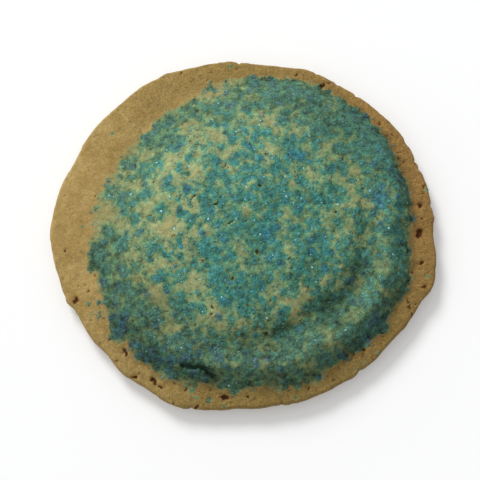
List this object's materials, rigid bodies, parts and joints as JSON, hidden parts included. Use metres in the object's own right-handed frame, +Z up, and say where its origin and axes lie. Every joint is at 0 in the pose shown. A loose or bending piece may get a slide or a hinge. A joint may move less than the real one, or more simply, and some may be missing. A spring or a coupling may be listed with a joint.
{
  "type": "sugar cookie with teal sanding sugar",
  "caption": "Puffy round sugar cookie with a domed top covered in coarse teal sanding sugar, a plain golden rim and a flat underside.",
  "frame": {"origin": "middle of the cookie's bounding box, on the plane of its flat underside", "axes": "+Z up out of the domed top, +X along the cookie's longer width, +Y along its shorter width"},
  "size_m": [0.0882, 0.0808, 0.0145],
  "materials": {
    "baked_dough": "matte golden baked sugar dough, smooth and slightly greasy, with small open pores, a browner edge and a baked underside",
    "teal_sugar": "coarse teal sanding sugar, translucent blocky crystals with glossy facets",
    "blue_sugar": "coarse blue sanding sugar, translucent blocky crystals with glossy facets",
    "clear_sugar": "pale, nearly clear sugar crystals that glint"
  },
  "bodies": {
    "root": {"cookie": "baked_dough"}
  },
  "joints": []
}
